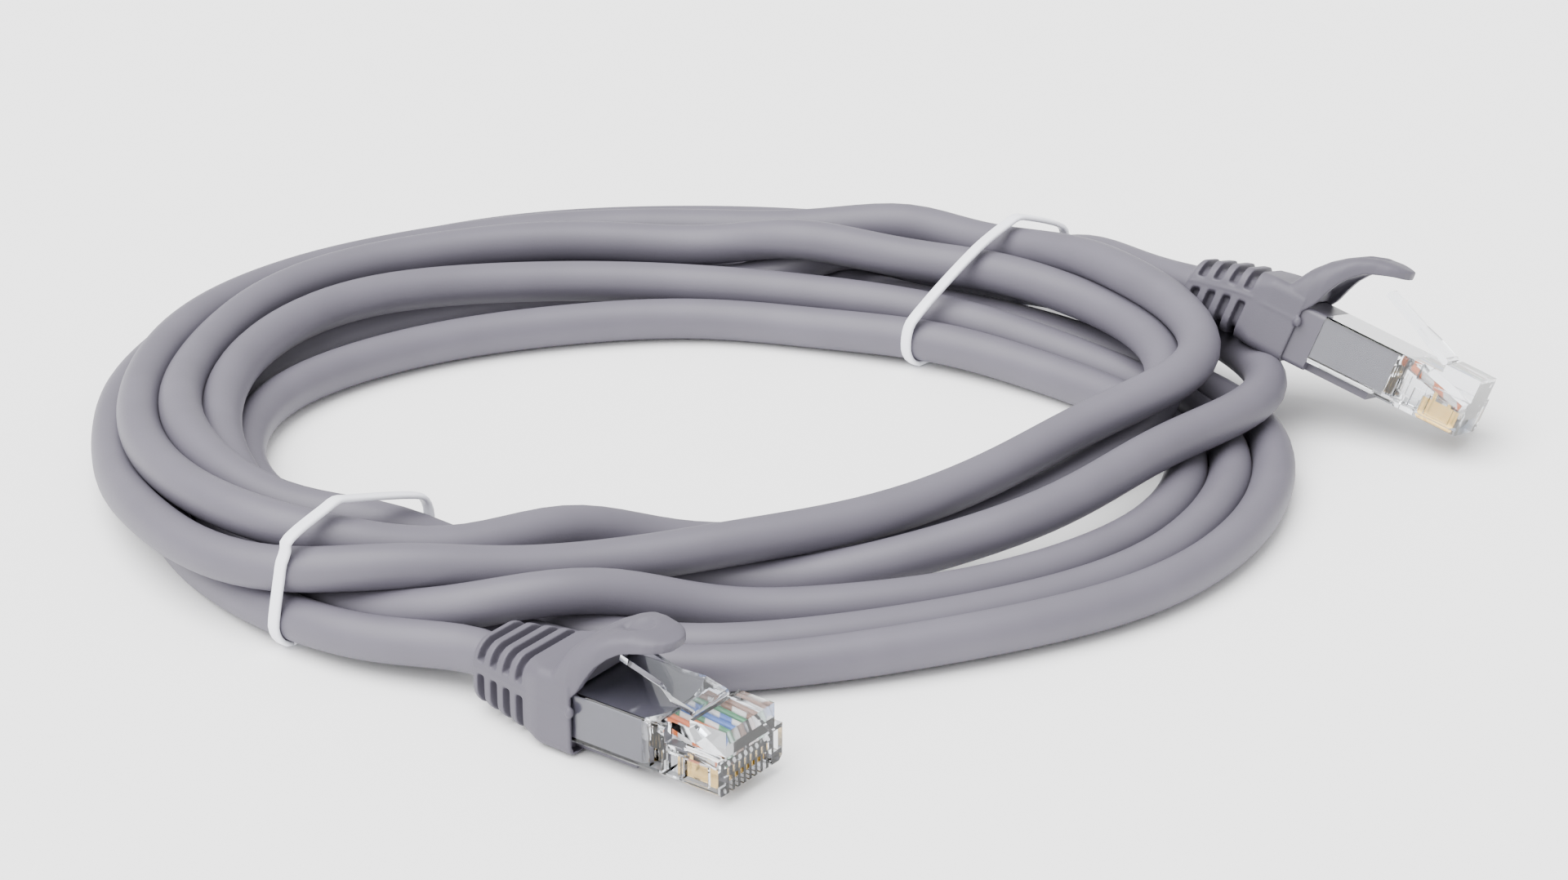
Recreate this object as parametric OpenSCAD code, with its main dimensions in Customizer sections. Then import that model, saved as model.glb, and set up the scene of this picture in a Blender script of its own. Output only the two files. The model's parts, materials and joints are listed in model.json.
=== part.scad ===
// Coiled network patch cord with a snagless modular plug at each end.
// The coil lies flat, +X to the right along its long side, +Z up.
// Plug frame: x towards the nose (nose face at 0), y across, z up from the underside.

/* [Cord] */
// Outside diameter of the cord's jacket
cord_od = 5.5; // [4.5:0.1:7]
// Width of the coil along X
coil_across = 155; // [130:1:200]
// Height of the coil at its highest strand
coil_high = 17.3; // [12:0.1:22]

/* [Plug housing] */
// Width of the clear housing over its flanges
plug_w = 11.68; // [10:0.01:14]
// Length of the clear housing
plug_l = 21.5; // [18:0.1:28]
// Height of the housing's body
body_h = 6.6; // [5.8:0.1:8]
// Height of the nose block that carries the latch
nose_h = 7.7; // [7.2:0.1:9.6]
// Length of the nose block
nose_l = 5.0; // [4:0.1:6]
// Width of the nose block
nose_w = 8.8; // [8.4:0.1:10]
// Height of the full-width flange at the nose
flange_h = 4.6; // [3.8:0.1:5.4]

/* [Contacts and conductors] */
// Distance between neighbouring contacts
pitch = 1.016; // [1:0.002:1.2]
// Thickness of one contact blade
blade_t = 0.34; // [0.25:0.01:0.4]
// Outside diameter of one insulated conductor
wire_d = 0.94; // [0.8:0.01:0.98]

/* [Boot and hood] */
// Length of the slip-on boot
boot_l = 16.2; // [14.5:0.1:22]
// Side wall of the boot's collar
collar_wall = 0.56; // [0.4:0.01:2]
// Roof of the boot's collar
collar_roof = 1.6; // [1.2:0.1:3]
// Wall round the cord at the boot's rear end
rear_wall = 1.7; // [1:0.05:2]
// Width of the strain relief slots
slot_w = 0.8; // [0.5:0.1:1.1]
// How much further forward the boot sits on plug A
boot_slide_a = 4.1; // [3:0.1:4.2]
// Width of the hood's tip
hood_w = 7.0; // [6:0.1:9]
// How far the hood on plug A is pressed down, in degrees
hood_press_a = 8; // [0:0.5:9]

/* [Latch] */
// Length of the latch from its root to its tip
latch_l = 11.6; // [9.5:0.1:12]
// Thickness of the latch
latch_t = 0.8; // [0.6:0.05:1]
// Width of the latch at its root
latch_w = 6.1; // [5:0.1:6.6]
// Latch slope on plug A, held part way down
latch_slope_a = 13.5; // [10:0.5:16]
// Latch slope on plug B, at rest
latch_slope_b = 22.5; // [18:0.5:24]

/* [Twist ties] */
// Width of a tie's ribbon
tie_w = 1.6; // [1:0.1:3]
// Thickness of a tie's ribbon
tie_t = 0.8; // [0.6:0.1:1.2]

/* [Hidden] */
WIRES = ["white_orange", "orange", "white_green", "blue",
         "white_blue", "green", "white_brown", "brown"];

$fn = 40;
eps = 0.01;
fit_gap = 0.03;      // between pieces of one plug that are pressed together
slide_gap = 0.1;     // between the boot and what it slips over
k = coil_across / 155;
kz = coil_high / 17.3;

// ---- where the plugs lie: [place of the nose's underside, turns about X, Y, Z]
PLUG_A = [[-5.8 * k, -76.5 * k, 1.6], [0, 0, -37]];
PLUG_B = [[85.5 * k, 12.8 * k, 2.2], [-20.3, 15.6, -29.5]];

module at_plug(p) translate(p[0]) rotate(p[1]) children();

// A point of the plug frame carried to the part frame.
function turn_x(v, a) = [v[0], v[1] * cos(a) - v[2] * sin(a), v[1] * sin(a) + v[2] * cos(a)];
function turn_y(v, a) = [v[0] * cos(a) + v[2] * sin(a), v[1], v[2] * cos(a) - v[0] * sin(a)];
function turn_z(v, a) = [v[0] * cos(a) - v[1] * sin(a), v[0] * sin(a) + v[1] * cos(a), v[2]];
function on_plug(p, v) = p[0] + turn_z(turn_y(turn_x(v, p[1][0]), p[1][1]), p[1][2]);

// ---- sizes worked out from the driving dimensions
cavity_front = -9.15;            // front of the moulding inside the housing
cavity_w = plug_w - 0.6;
cavity_low = 0.9;
cavity_top = body_h - 0.35;
wire_axis = [[cavity_front + 0.2, cavity_top - 0.75], [-1.0, 3.4]];
wire_slope = atan2(wire_axis[0][1] - wire_axis[1][1], wire_axis[1][0] - wire_axis[0][0]);
wire_len = norm(wire_axis[1] - wire_axis[0]);
cord_axis_z = body_h / 2;        // the cord's axis above the housing's underside
neck_end = -plug_l - 3.4;        // rear of the moulding's full-size neck
neck_tail = neck_end - 2.6;      // rear of its narrow tail
tongue_t = 1.1;
tongue_front = -12.7;
tail_w = cord_od + 3.7;          // the moulding's narrow tail round the cord
tail_low = cord_axis_z - cord_od / 2 - 0.95;
tail_top = cord_axis_z + cord_od / 2 + 0.35;
collar_low = min(-tongue_t - 0.4, tail_low - 1.1);
collar_high = body_h + slide_gap + collar_roof;
collar_w = plug_w + 2 * (slide_gap + collar_wall);
boot_rear_w = cord_od + 2 * rear_wall;
bellows_w = tail_w + 2.8;
seam_b = -24.7;                  // front of the boot on plug B
pocket_l = seam_b + boot_slide_a - neck_end + slide_gap; // depth of the boot's wide pocket
bellows_l = 9.4;                 // length of the slotted rear of the boot
core_wall = 0.75;
bore_r = cord_od / 2 + slide_gap;
latch_pivot = [-nose_l - 0.7, nose_h + 0.05];
hood_lift = max(collar_high - 8.3, nose_h - 7.7); // raises the hood over a taller plug
hood_pivot = [-2.2, 9.5];         // from the boot's front edge, before that
blade_low = 0.45;
blade_high = 2.8;
teeth_at = [-4.6, -2.4];

function wire_z(x) = wire_axis[1][1] + (wire_axis[1][0] - x) * tan(wire_slope);
function wire_y(i) = (i - 3.5) * pitch;

// A rectangle with round corners, as points.
function round_rect(w, low, high, r, n = 6) = [
    for (c = [[1, 1, 0], [-1, 1, 90], [-1, -1, 180], [1, -1, 270]])
        for (j = [0 : n])
            [c[0] * (w / 2 - r) + r * cos(c[2] + 90 * j / n),
             (c[1] > 0 ? high - r : low + r) + r * sin(c[2] + 90 * j / n)]];

// Stands an outline of the Y-Z plane up at x and runs it forward by len.
module run_x(x, len) translate([x, 0, 0]) rotate([90, 0, 90]) linear_extrude(len) children();

// Runs an outline of the X-Z plane across the plug, centred.
module run_y(w) translate([0, w / 2, 0]) rotate([90, 0, 0]) linear_extrude(w) children();

// ---- one sub-part each
module cavity(gap) {
    intersection() {
        translate([-plug_l - 1, -cavity_w / 2 - gap, cavity_low - gap])
            cube([plug_l + 1 + cavity_front + gap, cavity_w + 2 * gap,
                  cavity_top - cavity_low + 2 * gap]);
        translate([cavity_front - 10 + gap, 0, -2])
            cylinder(r = 10, h = 12, $fn = 96);
    }
    translate([-plug_l - 1, -cavity_w / 2 - gap, cavity_low - gap])
        cube([plug_l + 1 - 13 , cavity_w + 2 * gap, cavity_top - cavity_low + 2 * gap]);
}

module housing() {
    color([0.86, 0.9, 0.93, 0.35])
    difference() {
        union() {
            // full-width flange with its bottom corners cut back
            run_x(-plug_l, plug_l) polygon([
                [-plug_w / 2, 0.6], [-plug_w / 2 + 0.6, 0], [plug_w / 2 - 0.6, 0],
                [plug_w / 2, 0.6], [plug_w / 2, flange_h], [-plug_w / 2, flange_h]]);
            run_x(-plug_l, plug_l - nose_l - 2.5)
                polygon(round_rect(plug_w, 1, body_h, 0.5));
            translate([-plug_l, -nose_w / 2, 1]) cube([plug_l - nose_l + 0.5, nose_w, body_h - 1]);
            translate([-nose_l, -nose_w / 2, 1]) cube([nose_l, nose_w, nose_h - 1]);
        }
        cavity(fit_gap);
        // channel for the row of conductors
        translate([wire_axis[0][0] - 0.2, 0, wire_z(wire_axis[0][0] - 0.2)]) rotate([0, wire_slope, 0])
            translate([0, -4 * pitch - 0.08, -wire_d / 2 - 0.06])
                cube([wire_len + 0.3, 8 * pitch + 0.16, wire_d + 0.12]);
        for (i = [0 : 7]) {
            translate([-6.3, wire_y(i) - 0.27, -1]) cube([7, 0.54, 3.1]);
            translate([-6.1, wire_y(i) - blade_t / 2 - fit_gap, -1])
                cube([5.4, blade_t + 2 * fit_gap, blade_high + 1 + fit_gap]);
            for (x = teeth_at) translate([x - 0.28, wire_y(i) - blade_t / 2 - fit_gap, 1])
                cube([0.56, blade_t + 2 * fit_gap, wire_z(x) - 1]);
        }
        // strain bar window in the underside and the notch in front of it
        translate([-12.4, -3.2, -1]) cube([3, 6.4, 1.7]);
        // moulded windows low in each flank, with a rib between them
        for (s = [-1, 1]) for (x = [[-4.9, 3.5], [-7.2, 1.6], [-9.6, 1.7]])
            translate([x[0], s * plug_w / 2 - 0.8, 0.9]) cube([x[1], 1.6, flange_h - 2]);
    }
}

module mould() {
    color([0.42, 0.41, 0.45])
    difference() {
        union() {
            cavity(0);
            run_x(neck_end, -plug_l - fit_gap - neck_end)
                polygon(round_rect(plug_w, -tongue_t, body_h, 0.6));
            run_x(neck_tail, neck_end - neck_tail + eps)
                polygon(round_rect(tail_w, tail_low, tail_top, 0.8));
            translate([-plug_l - 1, -4.2, -tongue_t])
                cube([plug_l + 1 + tongue_front, 8.4, tongue_t - fit_gap]);
        }
        // the cord goes in from the rear
        translate([neck_tail - 1, 0, cord_axis_z]) rotate([0, 90, 0])
            cylinder(r = cord_od / 2 + fit_gap, h = 2.6);
    }
}

module contacts() {
    color([0.9, 0.75, 0.35])
    for (i = [0 : 7]) translate([0, wire_y(i), 0]) run_y(blade_t) polygon(concat(
        [[-6.0, blade_high], [-6.0, blade_low + 0.3], [-5.7, blade_low], [-1.1, blade_low],
         [-0.8, blade_low + 0.3], [-0.8, blade_high]],
        [for (j = [1, 0]) each [[teeth_at[j] + 0.25, blade_high],
            [teeth_at[j] + 0.25, wire_z(teeth_at[j]) - 0.3], [teeth_at[j], wire_z(teeth_at[j])],
            [teeth_at[j] - 0.25, wire_z(teeth_at[j]) - 0.3], [teeth_at[j] - 0.25, blade_high]]]));
}

module wire(i, c) {
    color(c)
    difference() {
        translate([wire_axis[0][0], wire_y(i), wire_axis[0][1]]) rotate([0, 90 + wire_slope, 0])
            cylinder(d = wire_d, h = wire_len, $fn = 24);
        for (x = teeth_at) translate([x - 0.28, wire_y(i) - blade_t / 2 - fit_gap, 2])
            cube([0.56, blade_t + 2 * fit_gap, wire_z(x) - 2 + fit_gap]);
    }
}

module latch(slope) {
    color([0.86, 0.9, 0.93, 0.35])
    translate([latch_pivot[0], 0, latch_pivot[1]]) rotate([0, slope, 0])
        intersection() {
            union() {
                run_y(latch_w) circle(r = 0.45);
                translate([-latch_l, -latch_w / 2, -latch_t / 2 + 0.05])
                    cube([latch_l, latch_w, latch_t]);
            }
            translate([0, 0, -2]) linear_extrude(4) polygon([
                [1, -latch_w / 2], [1, latch_w / 2], [-3, latch_w / 2], [-5.5, 1.9],
                [-latch_l, 1.7], [-latch_l, -1.7], [-5.5, -1.9], [-3, -latch_w / 2]]);
        }
}

// Outline of the boot's tapered rear at the part t of its length, 0 at the front.
function bellows(t, shrink = 0) = round_rect(
    bellows_w + (boot_rear_w - bellows_w) * t - 2 * shrink,
    collar_low + 0.2 + 0.6 * t + shrink, tail_top + 1.4 - 0.2 * t - shrink, 2.4 - shrink);

module boot() {
    color([0.42, 0.41, 0.45])
    difference() {
        union() {
            hull() {
                run_x(-boot_l, 0.2) polygon(bellows(1, 0.3));
                run_x(-boot_l + 0.3, 0.2) polygon(bellows(0.96));
                run_x(-boot_l + bellows_l, 0.2) polygon(bellows(0));
            }
            hull() {
                run_x(-boot_l + bellows_l, 0.2) polygon(bellows(0));
                run_x(-boot_l + bellows_l + 2, 0.2)
                    polygon(round_rect(collar_w, collar_low, collar_high, 1.4));
            }
            run_x(-boot_l + bellows_l + 2, boot_l - bellows_l - 2)
                polygon(round_rect(collar_w, collar_low, collar_high, 1.4));
        }
        // strain relief slots, cut in from above and from below, either side of a rib
        for (i = [0 : 3]) translate([-boot_l + 1.3 + 2.2 * i, 0, 0]) run_x(0, slot_w) difference() {
            square(30, center = true);
            polygon(bellows(0.9 - 0.25 * i, core_wall));
            translate([-15, cord_axis_z + 0.3]) square([30, 1.9]);
        }
        run_x(-pocket_l, pocket_l + 1) polygon(round_rect(plug_w + 2 * slide_gap,
            -tongue_t - slide_gap, body_h + slide_gap, 0.6));
        run_x(-pocket_l - 2.7, 3)
            polygon(round_rect(tail_w + 2 * slide_gap, tail_low - slide_gap, tail_top + slide_gap, 0.8));
        translate([-boot_l - 1, 0, cord_axis_z]) rotate([0, 90, 0]) cylinder(r = bore_r, h = boot_l);
    }
}

module hood(press) {
    color([0.42, 0.41, 0.45])
    translate([hood_pivot[0], 0, hood_pivot[1] + hood_lift]) rotate([0, press, 0])
        translate([-hood_pivot[0], 0, -hood_pivot[1]]) difference() {
        intersection() {
            union() {
                run_y(collar_w) polygon([[-3.1, 9.3], [-1.4, 12.3], [2.3, 14.6], [7.5, 15.9],
                    [10.2, 15.8], [10.2, 14.1], [7.5, 13.6], [3.4, 12.4], [0.6, 10.9], [-1.3, 9.3]]);
                run_y(collar_w) translate(hood_pivot) circle(r = 0.9);
            }
            linear_extrude(20) union() {
                polygon([[-4, -collar_w / 2 + 0.2], [0, -collar_w / 2 + 0.4], [5.8, -hood_w / 2],
                    [5.8, hood_w / 2], [0, collar_w / 2 - 0.4], [-4, collar_w / 2 - 0.2]]);
                translate([10.2 - hood_w / 2, 0]) circle(r = hood_w / 2);
            }
        }
        // finger dip in the top
        translate([4.6, 0, 15]) cylinder(r = 2.3, h = 4);
    }
}

// ---- the coil: inside, outside, top and underside of the bundle every 15 degrees
COIL_AT = [-14.1, 11.7];
RINGS = [
    [55, 77, 15, 0.3], [49, 74, 15.5, 0.3], [43, 70, 16.5, 0.3], [38, 69, 16.5, 1.2],
    [35, 68, 15, 1.2], [34, 69, 12.7, 0.3], [34, 69.5, 11.4, 0.3], [35, 71, 11.2, 0.3],
    [36, 73, 11.2, 0.3], [39, 76, 11.2, 0.3], [43, 78, 11.2, 0.3], [49, 78, 11.2, 0.3],
    [53, 76.1, 11.8, 0.3], [54, 77, 13, 0.3], [50, 75, 14.7, 0.3], [43, 72, 14.2, 1.1],
    [37, 66, 12.2, 1.1], [31, 63, 10.7, 0.3], [30, 66, 10.2, 0.3], [30.5, 68, 10.5, 0.3],
    [33, 70, 10.9, 0.3], [36, 74, 11.2, 0.3], [41, 77, 12, 0.3], [46, 77, 13.5, 0.3]];

function bundle(s, grow = 0) = let (r = 2.4) [
    for (c = [[s[1], s[2], 0, 1, 1], [s[0], s[2], 90, -1, 1], [s[0], s[3], 180, -1, -1],
              [s[1], s[3], 270, 1, -1]])
        for (j = [0 : 2]) [k * (c[0] - c[3] * r) + (r + grow) * cos(c[2] + 45 * j),
            c[4] > 0 ? kz * c[1] - r + (r + grow) * sin(c[2] + 45 * j)
                     : c[1] + r + (r + grow) * sin(c[2] + 45 * j)]];

module coil() {
    color([0.5, 0.49, 0.53])
    let (n = len(RINGS), m = 12,
         pts = [for (i = [0 : n - 1]) let (a = 360 * i / n) for (q = bundle(RINGS[i]))
             [k * COIL_AT[0] + q[0] * cos(a), k * COIL_AT[1] + q[0] * sin(a), q[1]]])
        polyhedron(pts, [for (i = [0 : n - 1]) for (j = [0 : m - 1]) each
            let (a = i * m + j, b = i * m + (j + 1) % m,
                 c = (i + 1) % n * m + (j + 1) % m, d = (i + 1) % n * m + j)
            [[a, d, c], [a, c, b]]]);
}

// ---- a tie: a flat ribbon round the bundle at one ring, over its wire
module tie(i, grow, w, t) {
    rotate([90, 0, 360 * i / len(RINGS)]) translate([0, 0, -w / 2]) linear_extrude(w) difference() {
        polygon(bundle(RINGS[i], grow + t));
        polygon(bundle(RINGS[i], grow));
    }
}

module tie_cover(i) {
    color([0.93, 0.94, 0.98])
    translate([k * COIL_AT[0], k * COIL_AT[1], 0]) difference() {
        tie(i, 0.3, tie_w, tie_t);
        tie(i, 0.3 + tie_t / 2 - 0.2, 0.4, 0.4);
    }
}

module tie_wire(i) {
    color([0.6, 0.6, 0.62])
    translate([k * COIL_AT[0], k * COIL_AT[1], 0])
        tie(i, 0.3 + tie_t / 2 - 0.2 + 0.01, 0.38, 0.38);
}

// ---- the cord between each boot and the coil, as a tube along its route
ROUTE_A = concat(
    [for (x = [neck_tail + 0.1, -32, -36.5, -40]) on_plug(PLUG_A, [x, 0, cord_axis_z])],
    [for (q = [[-43.2, -50.4, 4.8], [-48.7, -47.3, 4.5], [-54.5, -43.6, 4.2]]) [q[0] * k, q[1] * k, q[2]]]);
ROUTE_B = concat(
    [for (x = [neck_tail + 0.1, -33, -37, -40.6]) on_plug(PLUG_B, [x, 0, cord_axis_z])],
    [for (q = [[49.5, 35.4, 15.9], [45.3, 40.6, 14.8], [40.3, 48, 13.2], [35, 54.9, 11.9]])
        [q[0] * k, q[1] * k, q[2]]]);

function way(p, i) = let (n = len(p), d = p[min(i + 1, n - 1)] - p[max(i - 1, 0)]) d / norm(d);
function side(t) = let (s = cross([0, 0, 1], t)) s / norm(s);

module cord(p, m = 12) {
    let (n = len(p),
         pts = [for (i = [0 : n - 1]) let (t = way(p, i), s = side(t), u = cross(t, s))
             for (j = [0 : m - 1]) p[i] + cord_od / 2 * (s * cos(360 * j / m) + u * sin(360 * j / m))],
         sides = [for (i = [0 : n - 2]) for (j = [0 : m - 1])
             let (a = i * m + j, b = i * m + (j + 1) % m) each [[a, a + m, b + m], [a, b + m, b]]])
        color([0.5, 0.49, 0.53])
            polyhedron(pts, concat(sides, [[for (j = [0 : m - 1]) j],
                [for (j = [m - 1 : -1 : 0]) (n - 1) * m + j]]));
}

WIRE_COLOURS = [[0.95, 0.8, 0.7], [0.9, 0.45, 0.15], [0.8, 0.92, 0.82], [0.2, 0.4, 0.75],
                [0.78, 0.85, 0.95], [0.15, 0.55, 0.3], [0.88, 0.8, 0.72], [0.45, 0.28, 0.18]];

for (s = ["a", "b"]) {
    p = s == "a" ? PLUG_A : PLUG_B;
    slide = s == "a" ? seam_b + boot_slide_a : seam_b;
    at_plug(p) housing();
    at_plug(p) mould();
    at_plug(p) contacts();
    at_plug(p) latch(s == "a" ? latch_slope_a : latch_slope_b);
    at_plug(p) translate([slide, 0, 0]) boot();
    at_plug(p) translate([slide, 0, 0]) hood(s == "a" ? hood_press_a : 0);
    for (i = [0 : 7])
        at_plug(p) wire(i, WIRE_COLOURS[i]);
}
cord(ROUTE_A);  // cord_a
cord(ROUTE_B);  // cord_b
coil();
tie_cover(15);  // tie_front
tie_wire(15);  // tie_front_wire
tie_cover(3);  // tie_rear
tie_wire(3);  // tie_rear_wire
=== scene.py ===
"""A coiled network patch cord with a snagless modular plug at each end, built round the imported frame."""
import json
import math

import bmesh
import bpy
import numpy as np
from mathutils import Matrix, Vector


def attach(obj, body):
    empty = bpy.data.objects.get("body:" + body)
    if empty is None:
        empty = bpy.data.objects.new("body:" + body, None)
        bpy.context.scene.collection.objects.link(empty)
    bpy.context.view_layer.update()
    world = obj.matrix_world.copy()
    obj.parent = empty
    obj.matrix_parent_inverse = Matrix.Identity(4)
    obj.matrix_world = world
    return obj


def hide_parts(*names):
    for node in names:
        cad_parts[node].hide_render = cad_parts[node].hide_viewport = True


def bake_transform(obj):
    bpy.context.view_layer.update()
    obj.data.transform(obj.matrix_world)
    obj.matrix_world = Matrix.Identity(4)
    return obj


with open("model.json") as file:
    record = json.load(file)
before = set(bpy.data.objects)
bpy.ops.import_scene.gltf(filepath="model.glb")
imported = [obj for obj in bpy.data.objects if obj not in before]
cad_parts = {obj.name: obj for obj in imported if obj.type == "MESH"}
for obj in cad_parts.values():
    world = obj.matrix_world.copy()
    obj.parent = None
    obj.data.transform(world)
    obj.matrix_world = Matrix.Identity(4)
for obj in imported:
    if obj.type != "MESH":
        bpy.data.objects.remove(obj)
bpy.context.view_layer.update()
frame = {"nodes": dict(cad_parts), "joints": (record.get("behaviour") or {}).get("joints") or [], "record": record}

bl_info = {
    "name": "Network patch cord",
    "version": (1, 0, 0),
    "blender": (4, 5, 0),
    "location": "3D View > Sidebar > Patch cord",
    "description": "Makes a coiled network patch cord with its plugs, boots and twist ties",
    "category": "Object",
}

MM = 0.001
SIDES = ("a", "b")
WIRES = ("white_orange", "orange", "white_green", "blue",
         "white_blue", "green", "white_brown", "brown")


# ---------------------------------------------------------------- sizes and colours

class PatchCordSizes(bpy.types.PropertyGroup):
    """Sizes of the parts that are built here, beside those the frame fixes."""
    cord_od: bpy.props.FloatProperty(
        name="Cord diameter", description="Outside diameter of the jacket",
        default=5.5 * MM, unit="LENGTH")
    bellows_length: bpy.props.FloatProperty(
        name="Slotted length", description="Length of the boot's slotted rear",
        default=9.4 * MM, unit="LENGTH")
    boot_length: bpy.props.FloatProperty(
        name="Boot length", description="Length of the boot without its hood",
        default=16.2 * MM, unit="LENGTH")
    collar_width: bpy.props.FloatProperty(
        name="Collar width", description="Width of the boot's collar",
        default=13.0 * MM, unit="LENGTH")
    slot_width: bpy.props.FloatProperty(
        name="Slot width", description="Width of one strain relief slot",
        default=1.0 * MM, unit="LENGTH")
    tie_width: bpy.props.FloatProperty(
        name="Tie width", description="Width of the twist tie's ribbon",
        default=1.7 * MM, unit="LENGTH")
    tie_thickness: bpy.props.FloatProperty(
        name="Tie thickness", description="Thickness of the twist tie's ribbon",
        default=0.75 * MM, unit="LENGTH")


class PatchCordColours(bpy.types.PropertyGroup):
    """Colours as sRGB hex values."""
    jacket: bpy.props.StringProperty(
        name="Jacket", description="Colour of the cord's jacket", default="#5F5C66")
    boot: bpy.props.StringProperty(
        name="Boot", description="Colour of the boots and hoods", default="#55525C")
    moulding: bpy.props.StringProperty(
        name="Moulding", description="Colour of the grey moulding in the plugs", default="#595660")
    tie: bpy.props.StringProperty(
        name="Twist tie", description="Colour of the ties' coating", default="#F1F2FA")
    floor: bpy.props.StringProperty(
        name="Floor", description="Colour of the floor", default="#FFFFFF")


def sizes():
    return bpy.context.scene.patch_cord_sizes


def colours():
    return bpy.context.scene.patch_cord_colours


# ---------------------------------------------------------------- where things are

class Plug:
    """A plug's own frame: x towards the nose with the nose face at 0, y across, z up."""

    def __init__(self, letter, boot_front, bend):
        mounts = {m["name"]: m for m in frame["record"]["mounts"]}
        joints = {j["name"]: j for j in frame["joints"]}
        nose = mounts[f"plug_{letter}_nose"]
        self.x = Vector(nose["axis"]).normalized()
        self.y = Vector(joints[f"hood_{letter}_press"]["axis"]).normalized()
        self.z = self.x.cross(self.y).normalized()
        self.cord_axis = 3.3 * MM
        self.origin = Vector(nose["pos_m"]) - self.z * self.cord_axis
        self.boot_front = boot_front
        self.bend = bend

    def at(self, x, y, z):
        return self.origin + self.x * x + self.y * y + self.z * z

    def matrix(self):
        turn = Matrix((self.x, self.y, self.z)).transposed().to_4x4()
        return Matrix.Translation(self.origin) @ turn


# Boot A sits 4.1 mm further forward; boot B's soft rear is bent down 2 mm by the cord.
PLUGS = {"a": Plug("a", -20.6 * MM, 0), "b": Plug("b", -24.7 * MM, 2.0)}
COIL_AT = (-14.1, 11.7)

# Angles round the coil, in degrees, at which each turn's lane is given.
STATIONS = (240, 229, 218, 195, 170, 145, 115, 85, 60, 42, 22, 2, -15, -35, -60, -90, -106)

# Each turn's lane in millimetres: distance from the coil's centre, height above the floor.
LANES = (
    ((68.8, 4.2), (69.3, 3.7), (69.5, 3.2), (68.6, 3), (69.7, 2.8), (66.2, 2.8), (58.5, 2.8), (54.5, 2.8),
     (52, 2.8), (53.4, 3.5), (62.5, 2.8), (73, 2.8), (73.7, 2.8), (72.4, 3), (66.3, 3.2),
     (64.5, 2.9), (60.5, 2.8)),
    ((57.8, 3.2), (58.3, 3.6), (58.8, 3.6), (60.2, 6.9), (59.4, 8), (56, 7.6), (46.1, 6.3), (41.7, 5.6),
     (43, 5.4), (47.6, 4.9), (56, 3.3), (66.8, 2.8), (69.2, 2.8), (67.2, 2.8), (60.8, 2.8),
     (58.7, 2.8), (54.5, 2.8)),
    ((52.4, 3.2), (52.8, 3.6), (53.4, 3.2), (56.6, 2.8), (55.5, 2.8), (46.6, 2.8), (38.7, 2.8), (37, 2.8),
     (37.8, 2.8), (42.4, 3.5), (50.5, 2.8), (61, 2.8), (64.5, 2.8), (60.5, 2.8), (54.6, 3),
     (52.4, 4.3), (59.5, 7.8)),
    ((63.5, 6.6), (63.8, 3.8), (64, 3.2), (62.9, 2.8), (62.5, 2.8), (58.8, 2.8), (51.5, 2.8),
     (48.5, 3), (55.5, 5), (61.8, 6.6), (71, 7), (74, 7.6), (61, 8.2), (54, 7), (46.3, 4.3),
     (42, 2.8), (41.5, 6.2)),
    ((45.5, 3.4), (51.5, 4.8), (58, 7.8), (64.3, 10), (65, 8.5), (64.3, 8.4), (55.6, 8.5),
     (49.8, 8.2), (49.5, 9.6), (54, 10.2), (60.5, 10.4), (61, 8.6), (51.5, 4.2), (44, 3.1),
     (36.5, 2.8), (32.6, 2.8), (39.5, 6.2)),
    ((52.2, 8.6), (62, 11), (66.6, 11.4), (69.2, 8.8), (70.7, 8), (69.3, 6.8), (62.8, 6.8),
     (58.4, 7.4), (58, 9.4), (59.4, 12), (62.8, 14), (65.2, 12.5), (51, 10.1), (44.4, 8.7),
     (41.8, 8), (44.5, 7.4), (50, 8.2)),
    ((61.4, 8.4), (68, 8.5), (72, 7.6), (72.2, 5.2), (74.2, 4), (74.8, 3.4), (68.7, 4.5), (66.4, 4.6),
     (66.4, 5.8), (67, 7.8)),
)


def lane_points():
    """The route's control points in millimetres, from inside boot A round the coil into boot B."""
    plug_a, plug_b = PLUGS["a"], PLUGS["b"]
    points = [plug_a.at(x * MM, 0, plug_a.cord_axis) / MM for x in (-32, -36.5, -40.5)]
    for turn in LANES:
        for angle, (distance, height) in zip(STATIONS, turn):
            a = math.radians(angle)
            points.append(Vector((COIL_AT[0] + distance * math.cos(a),
                                  COIL_AT[1] + distance * math.sin(a), height)))
    points += [Vector(p) for p in ((35.6, 56.2, 9.3), (41.4, 48, 11.2), (46.4, 40.4, 12.8))]
    points += [plug_b.at(x * MM, 0, plug_b.cord_axis - boot_drop(x + 24.7, plug_b.bend) * MM) / MM
               for x in (-38.5, -35.5, -32)]
    return np.array([tuple(p) for p in points])


def smooth_line(points, per_span=14):
    """A centripetal Catmull-Rom curve through the points."""
    ends = np.vstack([2 * points[0] - points[1], points, 2 * points[-1] - points[-2]])
    line = []
    for p0, p1, p2, p3 in zip(ends, ends[1:], ends[2:], ends[3:]):
        t1 = np.linalg.norm(p1 - p0) ** 0.5
        t2 = t1 + np.linalg.norm(p2 - p1) ** 0.5
        t3 = t2 + np.linalg.norm(p3 - p2) ** 0.5
        for j in range(per_span):
            t = t1 + (t2 - t1) * j / per_span
            a1 = ((t1 - t) * p0 + t * p1) / t1
            a2 = ((t2 - t) * p1 + (t - t1) * p2) / (t2 - t1)
            a3 = ((t3 - t) * p2 + (t - t2) * p3) / (t3 - t2)
            b1 = ((t2 - t) * a1 + t * a2) / t2
            b2 = ((t3 - t) * a2 + (t - t1) * a3) / (t3 - t1)
            line.append(((t2 - t) * b1 + (t - t1) * b2) / (t2 - t1))
    line.append(points[-1])
    return np.array(line)


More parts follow.
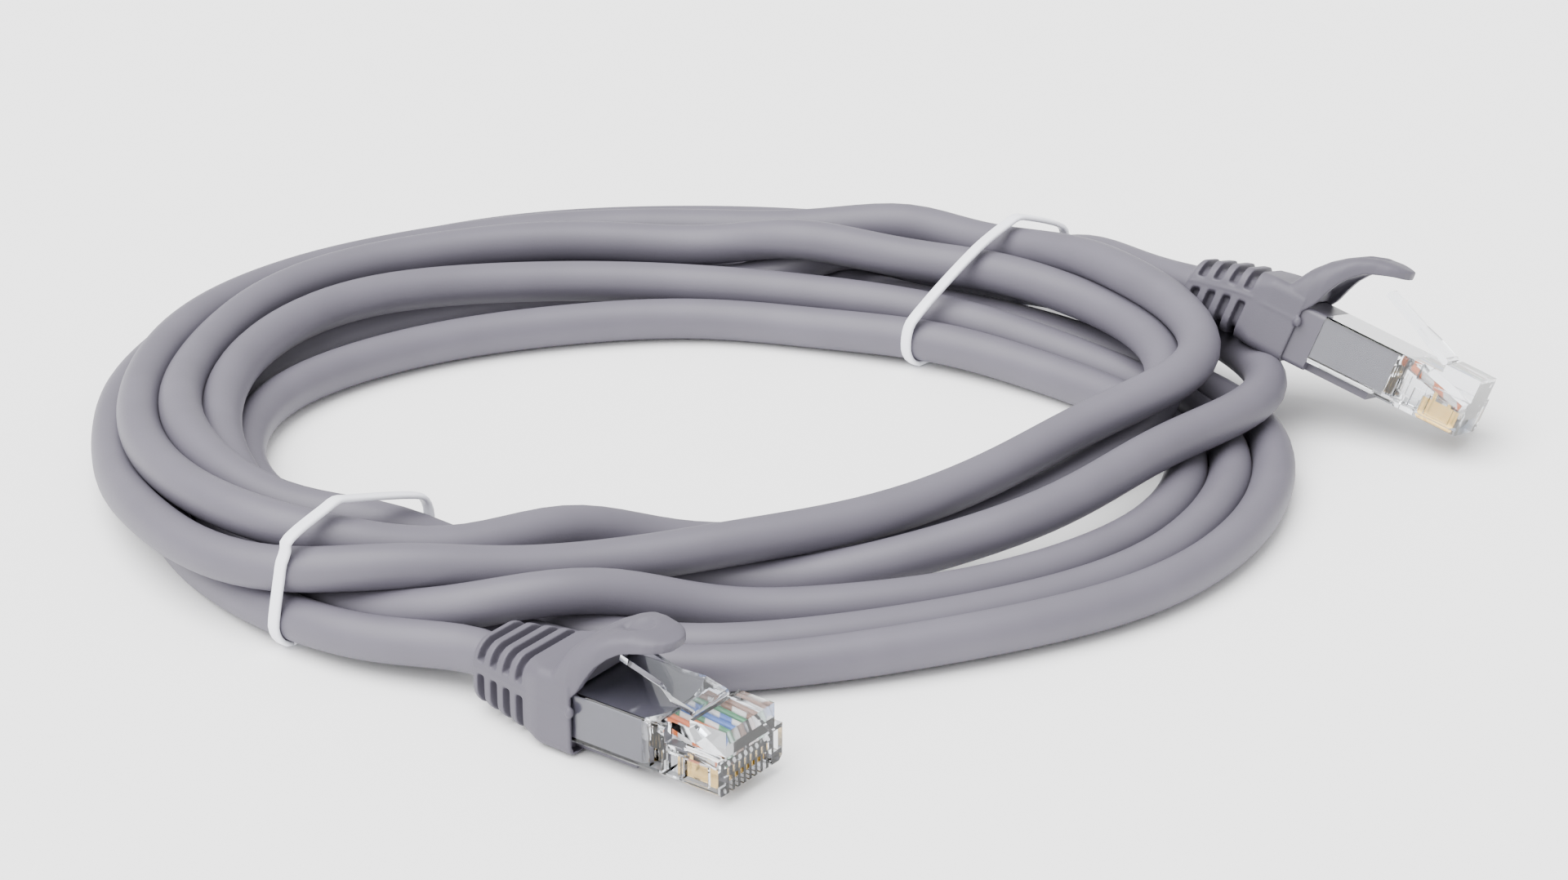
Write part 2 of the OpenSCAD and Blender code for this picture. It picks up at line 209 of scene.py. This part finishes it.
def even_steps(line, step):
    """The same line with points a fixed step apart, or close to it."""
    gaps = np.linalg.norm(np.diff(line, axis=0), axis=1)
    along = np.concatenate([[0], np.cumsum(gaps)])
    wanted = np.linspace(0, along[-1], int(round(along[-1] / step)) + 1)
    return np.stack([np.interp(wanted, along, line[:, i]) for i in range(3)], -1)


def settle(line, diameter, step, rounds=90, held=5):
    """Pushes turns that lie in each other a diameter apart, and keeps the line smooth and off the floor."""
    count = len(line)
    order = np.arange(count)
    apart = np.abs(order[:, None] - order[None, :]) * step > 4 * diameter
    free = np.clip((np.minimum(order, count - 1 - order) - held) / 6, 0, 1)[:, None]
    for _ in range(rounds):
        gap = line[:, None] - line[None]
        distance = np.sqrt((gap ** 2).sum(-1))
        close = apart & (distance < diameter)
        push = np.where(close, (diameter - distance) / np.maximum(distance, 1e-6), 0)
        touching = np.maximum(close.sum(1), 1)[:, None]
        line = line + free * 0.5 * (gap * push[..., None]).sum(1) / touching
        for _ in range(3):
            soft = line.copy()
            soft[1:-1] = 0.5 * line[1:-1] + 0.25 * (line[:-2] + line[2:])
            firm = soft.copy()
            firm[1:-1] = soft[1:-1] - 0.51 * (0.5 * (soft[:-2] + soft[2:]) - soft[1:-1])
            line = line + free * (firm - line)
        line[:, 2] = np.maximum(line[:, 2], diameter / 2)
    return line


ROUTE = {}


def cord_route():
    """The cord's centreline in millimetres, worked out once."""
    if "line" not in ROUTE:
        step = 2.5
        diameter = sizes().cord_od / MM
        ROUTE["line"] = settle(even_steps(smooth_line(lane_points()), step), diameter, step)
    return ROUTE["line"]


# ---------------------------------------------------------------- materials

def linear(hex_colour):
    """An sRGB hex value as linear RGBA."""
    parts = [int(hex_colour[i:i + 2], 16) / 255 for i in (1, 3, 5)]
    return [c / 12.92 if c <= 0.04045 else ((c + 0.055) / 1.055) ** 2.4 for c in parts] + [1.0]


def add_node(tree, kind, settings=None, links=None):
    """Adds a node, sets its inputs and properties, and links its inputs to other nodes' outputs."""
    node = tree.nodes.new(kind)
    for name, value in (settings or {}).items():
        if name in node.inputs:
            node.inputs[name].default_value = value
        else:
            setattr(node, name, value)
    for name, (source, output) in (links or {}).items():
        tree.links.new(source.outputs[output], node.inputs[name])
    return node


def new_material(name):
    material = bpy.data.materials.new(name)
    material.use_nodes = True
    material.node_tree.nodes.clear()
    return material, material.node_tree


def finish_material(tree, surface, name="BSDF"):
    output = add_node(tree, "ShaderNodeOutputMaterial")
    tree.links.new(surface.outputs[name], output.inputs["Surface"])


def moulded_pvc(name, colour, roughness, grain_mm, bump, mottle=0.05):
    """Soft PVC, extruded or moulded: a matt skin with a fine grain and faint cloudy shading."""
    material, tree = new_material(name)
    place = add_node(tree, "ShaderNodeTexCoord")
    grain = add_node(tree, "ShaderNodeTexNoise", {"Scale": 1 / (grain_mm * MM), "Detail": 3.0},
                     {"Vector": (place, "Object")})
    cloud = add_node(tree, "ShaderNodeTexNoise", {"Scale": 1 / (9 * MM), "Detail": 2.0},
                     {"Vector": (place, "Object")})
    base = linear(colour)
    dark = [c * (1 - mottle) for c in base[:3]] + [1]
    pale = [min(1, c * (1 + mottle)) for c in base[:3]] + [1]
    ramp = add_node(tree, "ShaderNodeValToRGB", links={"Fac": (cloud, "Fac")})
    ramp.color_ramp.elements[0].position = 0.3
    ramp.color_ramp.elements[0].color = dark
    ramp.color_ramp.elements[1].position = 0.7
    ramp.color_ramp.elements[1].color = pale
    rough = add_node(tree, "ShaderNodeMapRange",
                     {"To Min": roughness - 0.06, "To Max": roughness + 0.06},
                     {"Value": (grain, "Fac")})
    relief = add_node(tree, "ShaderNodeBump", {"Strength": bump, "Distance": 0.05 * MM},
                      {"Height": (grain, "Fac")})
    shader = add_node(tree, "ShaderNodeBsdfPrincipled", {"IOR": 1.5, "Specular IOR Level": 0.42},
                      {"Base Color": (ramp, "Color"), "Roughness": (rough, "Result"),
                       "Normal": (relief, "Normal")})
    finish_material(tree, shader)
    return material


def clear_polycarbonate():
    """Polycarbonate, injection moulded: glass-clear and glossy, with faint flow marks."""
    material, tree = new_material("clear_polycarbonate")
    place = add_node(tree, "ShaderNodeTexCoord")
    flow = add_node(tree, "ShaderNodeTexNoise", {"Scale": 1 / (2.5 * MM), "Detail": 2.0},
                    {"Vector": (place, "Object")})
    relief = add_node(tree, "ShaderNodeBump", {"Strength": 0.12, "Distance": 0.05 * MM},
                      {"Height": (flow, "Fac")})
    shader = add_node(tree, "ShaderNodeBsdfPrincipled",
                      {"Base Color": linear("#F4F6FA"), "Roughness": 0.04, "IOR": 1.45,
                       "Transmission Weight": 1.0},
                      {"Normal": (relief, "Normal")})
    finish_material(tree, shader)
    return material


def gold_plate():
    """Gold plating over stamped phosphor bronze: a warm polished metal."""
    material, tree = new_material("gold_plated_bronze")
    place = add_node(tree, "ShaderNodeTexCoord")
    wear = add_node(tree, "ShaderNodeTexNoise", {"Scale": 1 / (0.6 * MM)}, {"Vector": (place, "Object")})
    rough = add_node(tree, "ShaderNodeMapRange", {"To Min": 0.16, "To Max": 0.3}, {"Value": (wear, "Fac")})
    shader = add_node(tree, "ShaderNodeBsdfPrincipled",
                      {"Base Color": linear("#D9B160"), "Metallic": 1.0}, {"Roughness": (rough, "Result")})
    finish_material(tree, shader)
    return material


WIRE_COLOURS = {"orange": "#E8742A", "green": "#2E8B57", "blue": "#3A6EC0", "brown": "#8A5A3C"}


def wire_insulation(name):
    """Polyethylene insulation, extruded: waxy and smooth; the paired white has a broken coloured stripe."""
    material, tree = new_material(f"insulation_{name}")
    colour = linear(WIRE_COLOURS[name.replace("white_", "")])
    place = add_node(tree, "ShaderNodeTexCoord")
    if name.startswith("white_"):
        bands = add_node(tree, "ShaderNodeTexWave", {"Scale": 1 / (9 * MM), "Distortion": 1.5},
                         {"Vector": (place, "Object")})
        ramp = add_node(tree, "ShaderNodeValToRGB", links={"Fac": (bands, "Fac")})
        ramp.color_ramp.elements[0].position = 0.35
        ramp.color_ramp.elements[0].color = colour
        ramp.color_ramp.elements[1].position = 0.5
        ramp.color_ramp.elements[1].color = linear("#F2EDE6")
    else:
        cloud = add_node(tree, "ShaderNodeTexNoise", {"Scale": 1 / (1.5 * MM)}, {"Vector": (place, "Object")})
        ramp = add_node(tree, "ShaderNodeValToRGB", links={"Fac": (cloud, "Fac")})
        ramp.color_ramp.elements[0].color = [c * 0.9 for c in colour[:3]] + [1]
        ramp.color_ramp.elements[1].color = [min(1, c * 1.1) for c in colour[:3]] + [1]
    shader = add_node(tree, "ShaderNodeBsdfPrincipled", {"Roughness": 0.35, "IOR": 1.51},
                      {"Base Color": (ramp, "Color")})
    finish_material(tree, shader)
    return material


# ---------------------------------------------------------------- mesh helpers

def new_object(name, vertices, faces, material, smooth=True):
    mesh = bpy.data.meshes.new(name)
    mesh.from_pydata([tuple(v) for v in vertices], [], faces)
    mesh.validate()
    mesh.polygons.foreach_set("use_smooth", [smooth] * len(mesh.polygons))
    piece = bpy.data.objects.new(name, mesh)
    bpy.context.scene.collection.objects.link(piece)
    mesh.materials.append(material)
    return piece


def loft(rings, closed_ring=True):
    """Vertices and faces of a skin over rings of equal length, with its two ends closed."""
    count = len(rings[0])
    vertices = [v for ring in rings for v in ring]
    faces = []
    for i in range(len(rings) - 1):
        for j in range(count if closed_ring else count - 1):
            a, b = i * count + j, i * count + (j + 1) % count
            faces.append((a, b, b + count, a + count))
    faces.append(tuple(reversed(range(count))))
    last = (len(rings) - 1) * count
    faces.append(tuple(range(last, last + count)))
    return vertices, faces


def sweep(line, section, up_hint=None):
    """Rings of a section carried along a line without twist; section is a list of (side, up) offsets."""
    line = [Vector(p) for p in line]
    rings = []
    side = None
    for i, point in enumerate(line):
        ahead = (line[min(i + 1, len(line) - 1)] - line[max(i - 1, 0)]).normalized()
        if side is None:
            side = (up_hint or Vector((0, 0, 1))).cross(ahead).normalized()
        else:
            side = (side - ahead * side.dot(ahead)).normalized()
        up = ahead.cross(side)
        rings.append([point + side * s + up * u for s, u in section])
    return rings


def circle_section(radius, count):
    return [(radius * math.cos(2 * math.pi * j / count), radius * math.sin(2 * math.pi * j / count))
            for j in range(count)]


def flip_outward(piece):
    """Turns every face outwards."""
    mesh = bmesh.new()
    mesh.from_mesh(piece.data)
    bmesh.ops.recalc_face_normals(mesh, faces=mesh.faces)
    mesh.to_mesh(piece.data)
    mesh.free()


def apply_modifier(piece, kind, **settings):
    modifier = piece.modifiers.new(kind.title(), kind)
    for name, value in settings.items():
        setattr(modifier, name, value)
    graph = bpy.context.evaluated_depsgraph_get()
    mesh = bpy.data.meshes.new_from_object(piece.evaluated_get(graph))
    piece.modifiers.clear()
    old = piece.data
    piece.data = mesh
    bpy.data.meshes.remove(old)


# ---------------------------------------------------------------- stage

class PATCHCORD_OT_stage(bpy.types.Operator):
    """Make the pale floor, the soft lights and the camera"""
    bl_idname = "patchcord.stage"
    bl_label = "Stage"

    def execute(self, context):
        scene = context.scene
        camera_data = bpy.data.cameras.new("camera")
        camera_data.lens = 101.25
        camera_data.sensor_width = 36
        camera_data.clip_start = 0.01
        camera = bpy.data.objects.new("camera", camera_data)
        scene.collection.objects.link(camera)
        camera.location = (-2.1 * MM, -502.7 * MM, 241.7 * MM)
        camera.rotation_euler = (math.radians(65), 0, 0)
        scene.camera = camera

        world = bpy.data.worlds.new("studio")
        world.use_nodes = True
        world.node_tree.nodes["Background"].inputs["Color"].default_value = (1, 1, 1, 1)
        world.node_tree.nodes["Background"].inputs["Strength"].default_value = 1.15
        scene.world = world

        self.light("overhead", "SUN", (-120, -60, 400), 6.4, 60)
        self.light("front_left", "SUN", (-260, -300, 260), 1.6, 40)

        half = 3.0
        floor = new_object("floor", [(-half, -half, -0.0002), (half, -half, -0.0002),
                                     (half, half, -0.0002), (-half, half, -0.0002)],
                           [(0, 1, 2, 3)],
                           moulded_pvc("painted_floor", colours().floor, 0.7, 1.5, 0.02, 0.01))
        return {"FINISHED"}

    def light(self, name, kind, place_mm, strength, spread):
        data = bpy.data.lights.new(name, kind)
        data.energy = strength
        data.angle = math.radians(spread)
        lamp = bpy.data.objects.new(name, data)
        bpy.context.scene.collection.objects.link(lamp)
        lamp.location = Vector(place_mm) * MM
        lamp.rotation_euler = (-lamp.location).to_track_quat("-Z", "Y").to_euler()


# ---------------------------------------------------------------- the cord

class PATCHCORD_OT_cord(bpy.types.Operator):
    """Make the jacketed cord, from boot A round the coil into boot B"""
    bl_idname = "patchcord.cord"
    bl_label = "Cord"

    def execute(self, context):
        line = [Vector(p) * MM for p in cord_route()]
        diameter = sizes().cord_od
        vertices, faces = loft(sweep(line, circle_section(diameter / 2, 28)))
        jacket = moulded_pvc("extruded_pvc_jacket", colours().jacket, 0.5, 0.22, 0.25)
        cord = new_object("patch_cord", vertices, faces, jacket)
        flip_outward(cord)
        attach(cord, "cable")
        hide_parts("coil", "cord_a", "cord_b")
        length = sum((q - p).length for p, q in zip(line, line[1:]))
        context.scene["cord_length"] = length
        ROUTE["path"] = [tuple(p) for p in line]
        return {"FINISHED"}


class PATCHCORD_OT_declare(bpy.types.Operator):
    """Gather the parts on the cord's far end, plug B's pieces and boot B, into a list that nothing uses"""
    bl_idname = "patchcord.declare"
    bl_label = "Declare the cord"

    def execute(self, context):
        far = [frame["nodes"][f"{n}_b"] for n in ("housing", "mould", "contacts", "latch")]
        far += [frame["nodes"][f"wire_{w}_b"] for w in WIRES]
        far.append(bpy.data.objects["boot_b_shell"])
        return {"FINISHED"}


# ---------------------------------------------------------------- boots

def round_rect(width, low, high, radius, count):
    """Points evenly spaced round a rectangle with round corners, from the middle of its top."""
    radius = min(radius, width / 2 - 1e-6, (high - low) / 2 - 1e-6)
    straight_x, straight_z = width - 2 * radius, high - low - 2 * radius
    arc = math.pi * radius / 2
    legs = [("top", straight_x / 2), ("c1", arc), ("right", straight_z), ("c2", arc), ("under", straight_x),
            ("c3", arc), ("left", straight_z), ("c4", arc), ("end", straight_x / 2)]
    total = sum(length for _, length in legs)
    x0, z_low, z_high = width / 2 - radius, low + radius, high - radius
    corners = {"c1": (x0, z_high, 90), "c2": (x0, z_low, 0),
               "c3": (-x0, z_low, -90), "c4": (-x0, z_high, -180)}
    points = []
    for j in range(count):
        s = total * j / count
        for name, length in legs:
            if s <= length or name == "end":
                break
            s -= length
        if name in corners:
            cx, cz, start = corners[name]
            a = math.radians(start - 90 * s / length)
            points.append((cx + radius * math.cos(a), cz + radius * math.sin(a),
                           math.cos(a), math.sin(a)))
        elif name == "top":
            points.append((s, high, 0, 1))
        elif name == "end":
            points.append((-straight_x / 2 + s, high, 0, 1))
        elif name == "right":
            points.append((width / 2, z_high - s, 1, 0))
        elif name == "left":
            points.append((-width / 2, z_low + s, -1, 0))
        else:
            points.append((x0 - s, low, 0, -1))
    return points


def step_up(x, low, high):
    t = min(1, max(0, (x - low) / (high - low)))
    return t * t * (3 - 2 * t)


def spline(table, x):
    """A smooth value from a short table of (x, value) pairs."""
    if x <= table[0][0]:
        return table[0][1]
    for (x0, v0), (x1, v1) in zip(table, table[1:]):
        if x <= x1:
            t = (x - x0) / (x1 - x0)
            return v0 + (v1 - v0) * t
    return table[-1][1]


# Millimetres: the stiff front of a boot, the soft length behind it that bends, the slots' spacing
# from the first one's centre, their depth, and the height of the parting line.
BOOT_STIFF, BOOT_SOFT = 4.8, 11.4
SLOT_COUNT, FIRST_SLOT, SLOT_PITCH, SLOT_DEPTH = 4, 1.7, 2.2, 1.25
PARTING_LINE = 4.55


def boot_drop(x, bend):
    """How far the soft rear of a boot hangs below its straight line at x from its front edge."""
    back = max(0, -x - BOOT_STIFF)
    return bend * min(back / BOOT_SOFT, 1) ** 2 + (bend * 2 / BOOT_SOFT) * max(0, back - BOOT_SOFT)


def boot_rings(bend):
    """Rings of the boot in millimetres, x from its front edge, with slots, collar and pocket."""
    length = sizes().boot_length / MM
    slotted = sizes().bellows_length / MM
    collar = sizes().collar_width / MM
    slot = sizes().slot_width / MM
    around = 120
    low, high = -1.5, 8.3
    width_at = [(-length, 8.4), (-length + 0.35, 8.95), (-length + 0.9, 9.2), (-length + slotted, 12.0),
                (-length + slotted + 1.2, collar - 0.3), (-length + slotted + 2, collar), (0, collar)]
    low_at = [(-length, -0.6), (-length + 0.5, -0.85), (-length + slotted, low + 0.1), (0, low)]
    high_at = [(-length, 7.2), (-length + 0.5, 7.5), (-length + slotted, 8.1),
               (-length + slotted + 2, high), (0, high)]
    radius_at = [(-length, 2.8), (-length + slotted, 2.2), (-length + slotted + 2, 1.3), (0, 1.2)]
    centres = [-length + FIRST_SLOT + SLOT_PITCH * i for i in range(SLOT_COUNT)]
    xs = list(np.arange(-length, -length + slotted + 0.6, 0.11))
    xs += list(np.arange(xs[-1] + 0.25, -0.3, 0.35)) + [-0.25, -0.1]
    rings = []
    for x in xs:
        cut = 0
        for c in centres:
            cut = max(cut, 1 - step_up(abs(x - c), slot / 2 - 0.08, slot / 2 + 0.08))
        edge = step_up(x, -length - 0.01, -length + 0.5)
        ring = []
        for y, z, ny, nz in round_rect(spline(width_at, x), spline(low_at, x), spline(high_at, x),
                                       spline(radius_at, x), around):
            above = step_up(z, 5.35, 5.6)
            below = 1 - step_up(z, 3.45, 3.7)
            depth = SLOT_DEPTH * cut * max(above, below) + 0.35 * (1 - edge)
            flash, spread = (0.10, 0.16) if x < -length + slotted else (0.05, 0.12)
            rib = flash * math.exp(-((z - PARTING_LINE) / spread) ** 2)
            ring.append((x, y - ny * (depth - rib), z - nz * (depth - rib)))
        rings.append(ring)
    for x, shrink in ((0, 0.14), (0, 0.5)):
        rings.append([(x, y, z) for y, z, _, _ in
                      round_rect(collar - 2 * shrink, low + shrink, high - shrink, 1.1, around)])
    for x in (-0.1, -1.4):
        rings.append([(x, y, z) for y, z, _, _ in round_rect(11.9, -1.2, 6.75, 0.7, around)])
    return [[(x, y, z - boot_drop(x, bend)) for x, y, z in ring] for ring in rings]


def hood_rings(press):
    """Rings of the arched hood over the latch, from its root in the boot to its round tip."""
    top_at = [(-3.6, 7.6), (-2.8, 9.2), (-1.6, 11.2), (0, 12.9), (1.7, 14.2), (3.4, 15.2), (5.6, 15.9),
              (7.9, 16.1), (10, 16)]
    edge_at = [(-3.6, 5.4), (-0.6, 5.2), (0.4, 6.4), (1.1, 7.4), (1.85, 9.4), (2.6, 11), (3.8, 12.5),
               (5, 13.5), (7, 14.2), (8.4, 14.6), (10, 14.8)]
    half_at = [(-3.6, 6.35), (-0.3, 6.42), (1.2, 6.1), (2.6, 5.5), (4.2, 4.7), (6, 3.95), (7.6, 3.5),
               (8.6, 2.95), (9.4, 2.1), (9.9, 1.1), (10, 0.5)]
    under_at = [(-3.6, 6.6), (0.1, 8.9), (1.4, 10.8), (3.4, 12.5), (5.6, 13.4), (7.5, 13.9), (10, 14.5)]
    across = 32
    rings = []
    for x in list(np.arange(-3.6, 8.0, 0.3)) + list(np.arange(8.0, 10.05, 0.1)):
        top, edge, half, under = (spline(t, x) for t in (top_at, edge_at, half_at, under_at))
        outer, inner = [], []
        for j in range(across + 1):
            a = math.pi * (j / across - 0.5)
            side = math.copysign(abs(math.sin(a)) ** 0.5, math.sin(a))
            bow = max(0, math.cos(a)) ** 0.5
            y = half * side
            z = edge + (top - edge) * bow
            round_off = math.hypot((x - 4.1) / 2.3, y / 1.9)
            dip = 0.85 * min(1, max(0, 2.6 * (1 - round_off)))
            outer.append((x, y, z - dip))
            wall = min(1.2, half * 0.3)
            inner.append((x, (half - wall) * side, edge + 0.05 + max(0, under - edge) * bow))
        rings.append(outer + inner[::-1])
    root_x, root_z = -2.2, 9.5
    bent = []
    for ring in rings:
        turn = math.radians(press) * step_up(ring[0][0], -2.8, 0.4)
        c, s = math.cos(turn), math.sin(turn)
        bent.append([(root_x + (x - root_x) * c + (z - root_z) * s, y,
                      root_z + (z - root_z) * c - (x - root_x) * s) for x, y, z in ring])
    return bent


class PATCHCORD_OT_boots(bpy.types.Operator):
    """Make each grey boot with its hood as one moulding; hood A is turned 8 degrees about its root, hood B not at
    all
    """
    bl_idname = "patchcord.boots"
    bl_label = "Boots"

    def execute(self, context):
        rubber = moulded_pvc("moulded_pvc_boot", colours().boot, 0.55, 0.18, 0.3, 0.04)
        for letter, plug in PLUGS.items():
            vertices, faces = loft(boot_rings(plug.bend))
            bead = [[(0.1 + r * math.sin(t), -6.5 + r * math.cos(t), z) for t in np.linspace(0, 5.76, 12)]
                    for r, z in ((0.1, 3.75), (0.4, 3.9), (0.55, 4.3), (0.5, 4.7), (0.3, 5.0), (0.05, 5.1))]
            for extra, extra_faces in (loft(hood_rings(8 if letter == "a" else 0)), loft(bead)):
                shift = len(vertices)
                vertices += extra
                faces += [tuple(i + shift for i in face) for face in extra_faces]
            place = plug.matrix() @ Matrix.Translation((plug.boot_front, 0, 0)) @ Matrix.Scale(MM, 4)
            boot = new_object(f"boot_{letter}_shell", [place @ Vector(v) for v in vertices], faces, rubber)
            flip_outward(boot)
            # one skin over boot and hood, with the small fillets of a moulding
            apply_modifier(boot, "REMESH", mode="VOXEL", voxel_size=0.14 * MM, use_smooth_shade=True)
            apply_modifier(boot, "SMOOTH", factor=0.5, iterations=3)
            boot.data.materials.clear()
            boot.data.materials.append(rubber)
            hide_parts(f"boot_{letter}", f"hood_{letter}")
            front = plug.boot_front
            tuple(plug.at(front - 2.4 * MM, 0, 8.6 * MM))
            tuple(plug.at(front - 0.2 * MM, 0, 11.2 * MM))
            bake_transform(boot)
        return {"FINISHED"}


# ---------------------------------------------------------------- plugs

def repaint(node, material):
    """Gives a CAD node's object one material."""
    slots = frame["nodes"][node].data.materials
    slots.clear()
    slots.append(material)


class PATCHCORD_OT_plugs(bpy.types.Operator):
    """Finish the housings, latches, mouldings, contacts and conductors"""
    bl_idname = "patchcord.plugs"
    bl_label = "Plugs"

    def execute(self, context):
        clear = clear_polycarbonate()
        gold = gold_plate()
        grey = moulded_pvc("moulded_pvc_insert", colours().moulding, 0.38, 0.3, 0.15, 0.03)
        insulation = {w: wire_insulation(w) for w in WIRES}
        for letter in SIDES:
            repaint(f"housing_{letter}", clear)
            repaint(f"latch_{letter}", clear)
            repaint(f"mould_{letter}", grey)
            repaint(f"contacts_{letter}", gold)
            for w in WIRES:
                repaint(f"wire_{w}_{letter}", insulation[w])
        return {"FINISHED"}


# ---------------------------------------------------------------- ties

# Each tie's angle round the coil in degrees, and how loosely it lies on top in millimetres.
TIES = (("front", 229, 1.8), ("rear", 43, 1.2))


def bundle_at(angle):
    """Where the cord crosses the upright plane at this angle: (distance, height) in millimetres."""
    line = cord_route()
    a = math.radians(angle)
    out = np.array([math.cos(a), math.sin(a)])
    along = np.array([-math.sin(a), math.cos(a)])
    flat = line[:, :2] - np.array(COIL_AT)
    offset, reach = flat @ along, flat @ out
    places = []
    for i in range(len(line) - 1):
        if offset[i] * offset[i + 1] <= 0 and reach[i] > 0:
            t = abs(offset[i]) / max(1e-9, abs(offset[i]) + abs(offset[i + 1]))
            places.append((reach[i] + t * (reach[i + 1] - reach[i]),
                           line[i, 2] + t * (line[i + 1, 2] - line[i, 2])))
    return np.array(places), out


class PATCHCORD_OT_ties(bpy.types.Operator):
    """Make the two white twist ties round the bundle"""
    bl_idname = "patchcord.ties"
    bl_label = "Twist ties"

    def execute(self, context):
        coating = moulded_pvc("tie_pvc_ribbon", colours().tie, 0.3, 0.5, 0.1, 0.02)
        for name, angle, slack in TIES:
            self.tie(name, angle, slack, coating)
        return {"FINISHED"}

    def tie(self, name, angle, slack, coating):
        places, out = bundle_at(angle)
        thick = sizes().tie_thickness / MM
        wide = sizes().tie_width / MM
        gap = sizes().cord_od / MM / 2 + thick / 2 + 0.05
        loop = []
        for j in range(73):
            t = math.radians(-75 + 360 * j / 72)
            normal = np.array([math.cos(t), math.sin(t)])
            reach = (places @ normal)
            centre = places[int(reach.argmax())]
            loose = slack * max(0, math.sin(t)) ** 2 * (1 if math.cos(t) < 0.5 else 0.4)
            r, z = centre + normal * (gap + loose)
            loop.append(Vector((COIL_AT[0] + out[0] * r, COIL_AT[1] + out[1] * r, max(z, thick / 2 + 0.02))))
        loop = [Vector(p) for p in even_steps(smooth_line(np.array([tuple(p) for p in loop[::2]]), 6), 0.8)]
        ribbon = [(wide / 2 * math.copysign(abs(math.cos(a)) ** 0.6, math.cos(a)),
                   thick / 2 * math.copysign(abs(math.sin(a)) ** 0.8, math.sin(a)))
                  for a in (2 * math.pi * j / 16 for j in range(16))]
        ribbon = [(s * MM, u * MM) for u, s in ribbon]
        line = [p * MM for p in loop]
        along = Vector((-out[1], out[0], 0))
        vertices, faces = loft(sweep(line, ribbon, up_hint=along))
        tie = new_object(f"{name}_tie", vertices, faces, coating)
        flip_outward(tie)
        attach(tie, "cable")
        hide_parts(f"tie_{name}", f"tie_{name}_wire")


# ---------------------------------------------------------------- panel and running order

OPERATORS = (PATCHCORD_OT_stage, PATCHCORD_OT_cord, PATCHCORD_OT_boots, PATCHCORD_OT_plugs,
             PATCHCORD_OT_ties, PATCHCORD_OT_declare)


class PATCHCORD_PT_panel(bpy.types.Panel):
    """Sizes, colours and the steps that make the patch cord"""
    bl_idname = "PATCHCORD_PT_panel"
    bl_label = "Patch cord"
    bl_space_type = "VIEW_3D"
    bl_region_type = "UI"
    bl_category = "Patch cord"

    def draw(self, context):
        for group in (context.scene.patch_cord_sizes, context.scene.patch_cord_colours):
            for name in group.__annotations__:
                self.layout.prop(group, name)
        for operator in OPERATORS:
            self.layout.operator(operator.bl_idname)


CLASSES = (PatchCordSizes, PatchCordColours) + OPERATORS + (PATCHCORD_PT_panel,)


def register():
    for cls in CLASSES:
        bpy.utils.register_class(cls)
    bpy.types.Scene.patch_cord_sizes = bpy.props.PointerProperty(type=PatchCordSizes)
    bpy.types.Scene.patch_cord_colours = bpy.props.PointerProperty(type=PatchCordColours)


def unregister():
    del bpy.types.Scene.patch_cord_colours
    del bpy.types.Scene.patch_cord_sizes
    for cls in reversed(CLASSES):
        bpy.utils.unregister_class(cls)


def main():
    register()
    for operator in OPERATORS:
        space, name = operator.bl_idname.split(".")
        result = getattr(getattr(bpy.ops, space), name)()
        if result != {"FINISHED"}:
            raise RuntimeError(f"{operator.bl_label} did not finish")


if __name__ == "__main__":
    main()
